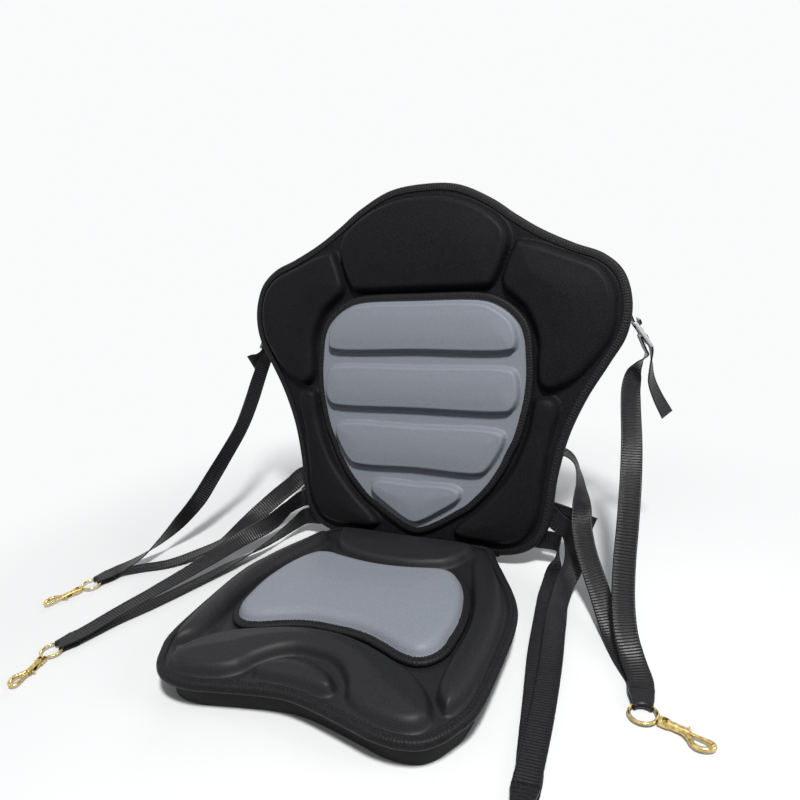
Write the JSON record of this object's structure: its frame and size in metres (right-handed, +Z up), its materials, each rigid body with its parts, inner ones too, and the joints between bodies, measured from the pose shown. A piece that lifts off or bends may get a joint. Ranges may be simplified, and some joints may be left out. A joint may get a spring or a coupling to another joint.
{
  "type": "kayak seat cushion with backrest and clip-on straps",
  "caption": "Padded boat seat cushion with a raked backrest, moulded black and grey pads, and webbing straps ending in brass snap hooks.",
  "frame": {"origin": "on the underside of the seat's base foam, on the centre line, 93 mm in front of the seat's rear plane", "axes": "+Z up, -Y the way the sitter faces, +X to the sitter's left"},
  "size_m": [0.6757, 0.4682, 0.4054],
  "materials": {
    "black_cloth": "matte",
    "grey_cloth": "matte",
    "black_foam": "matte",
    "black_tape": "matte",
    "black_webbing": "satin",
    "pale_plastic": "satin",
    "brass": "polished"
  },
  "bodies": {
    "root": {"backrest_front_panel": "black_cloth", "backrest_rear_panel": "black_cloth", "backrest_binding": "black_tape", "backrest_grey_panel": "grey_cloth", "grey_panel_binding": "black_tape", "seat_top_panel": "black_cloth", "seat_base_foam": "black_foam", "seat_binding": "black_tape", "seat_saddle_pad": "grey_cloth", "saddle_binding": "black_tape", "fold_strip": "black_cloth", "hook_1_eye": "brass", "hook_1_webbing_loop": "black_webbing", "hook_2_eye": "brass", "hook_2_webbing_loop": "black_webbing", "hook_3_eye": "brass", "hook_3_webbing_loop": "black_webbing", "hook_4_eye": "brass", "hook_4_webbing_loop": "black_webbing", "left_shoulder_buckle": "pale_plastic", "left_shoulder_tab": "black_webbing", "left_shoulder_tail": "black_webbing", "right_shoulder_buckle": "pale_plastic", "right_shoulder_tab": "black_webbing", "right_shoulder_tail": "black_webbing", "left_waist_buckle": "pale_plastic", "left_waist_tab": "black_webbing", "left_waist_tail": "black_webbing", "right_waist_buckle": "pale_plastic", "right_waist_tab": "black_webbing", "right_waist_tail": "black_webbing", "left_upper_strap": "black_webbing", "left_upper_return_strap": "black_webbing", "left_lower_strap": "black_webbing", "left_lower_return_strap": "black_webbing", "right_upper_strap": "black_webbing", "right_upper_return_strap": "black_webbing", "right_lower_strap": "black_webbing", "right_lower_return_strap": "black_webbing"},
    "hook_1_swivel_body": {"hook_1_body": "brass"},
    "hook_1_bolt_body": {"hook_1_bolt": "brass"},
    "hook_2_swivel_body": {"hook_2_body": "brass"},
    "hook_2_bolt_body": {"hook_2_bolt": "brass"},
    "hook_3_swivel_body": {"hook_3_body": "brass"},
    "hook_3_bolt_body": {"hook_3_bolt": "brass"},
    "hook_4_swivel_body": {"hook_4_body": "brass"},
    "hook_4_bolt_body": {"hook_4_bolt": "brass"}
  },
  "joints": [
    {"name": "hook_1_swivel", "type": "hinge", "parent": "root", "child": "hook_1_swivel_body", "pos_m": [-0.341, -0.0705, 0.004], "axis": [-0.3192, -0.9477, 0], "continuous": true},
    {"name": "hook_1_thumb_bolt", "type": "slide", "parent": "hook_1_swivel_body", "child": "hook_1_bolt_body", "axis": [0.3192, 0.9477, 0], "range_m": [0, 0.006], "stiffness_N_per_m": 40, "springref_m": -0.002},
    {"name": "hook_2_swivel", "type": "hinge", "parent": "root", "child": "hook_2_swivel_body", "pos_m": [-0.282, -0.177, 0.004], "axis": [0.2, -0.9798, 0], "continuous": true},
    {"name": "hook_2_thumb_bolt", "type": "slide", "parent": "hook_2_swivel_body", "child": "hook_2_bolt_body", "axis": [-0.2, 0.9798, 0], "range_m": [0, 0.006], "stiffness_N_per_m": 40, "springref_m": -0.002},
    {"name": "hook_3_swivel", "type": "hinge", "parent": "root", "child": "hook_3_swivel_body", "pos_m": [0.259, -0.082, 0.004], "axis": [0.9555, -0.2951, 0], "continuous": true},
    {"name": "hook_3_thumb_bolt", "type": "slide", "parent": "hook_3_swivel_body", "child": "hook_3_bolt_body", "axis": [-0.9555, 0.2951, 0], "range_m": [0, 0.006], "stiffness_N_per_m": 40, "springref_m": -0.002},
    {"name": "hook_4_swivel", "type": "hinge", "parent": "root", "child": "hook_4_swivel_body", "pos_m": [0.193, -0.204, 0.004], "axis": [0.0499, -0.9988, 0], "continuous": true},
    {"name": "hook_4_thumb_bolt", "type": "slide", "parent": "hook_4_swivel_body", "child": "hook_4_bolt_body", "axis": [-0.0499, 0.9988, 0], "range_m": [0, 0.006], "stiffness_N_per_m": 40, "springref_m": -0.002}
  ]
}
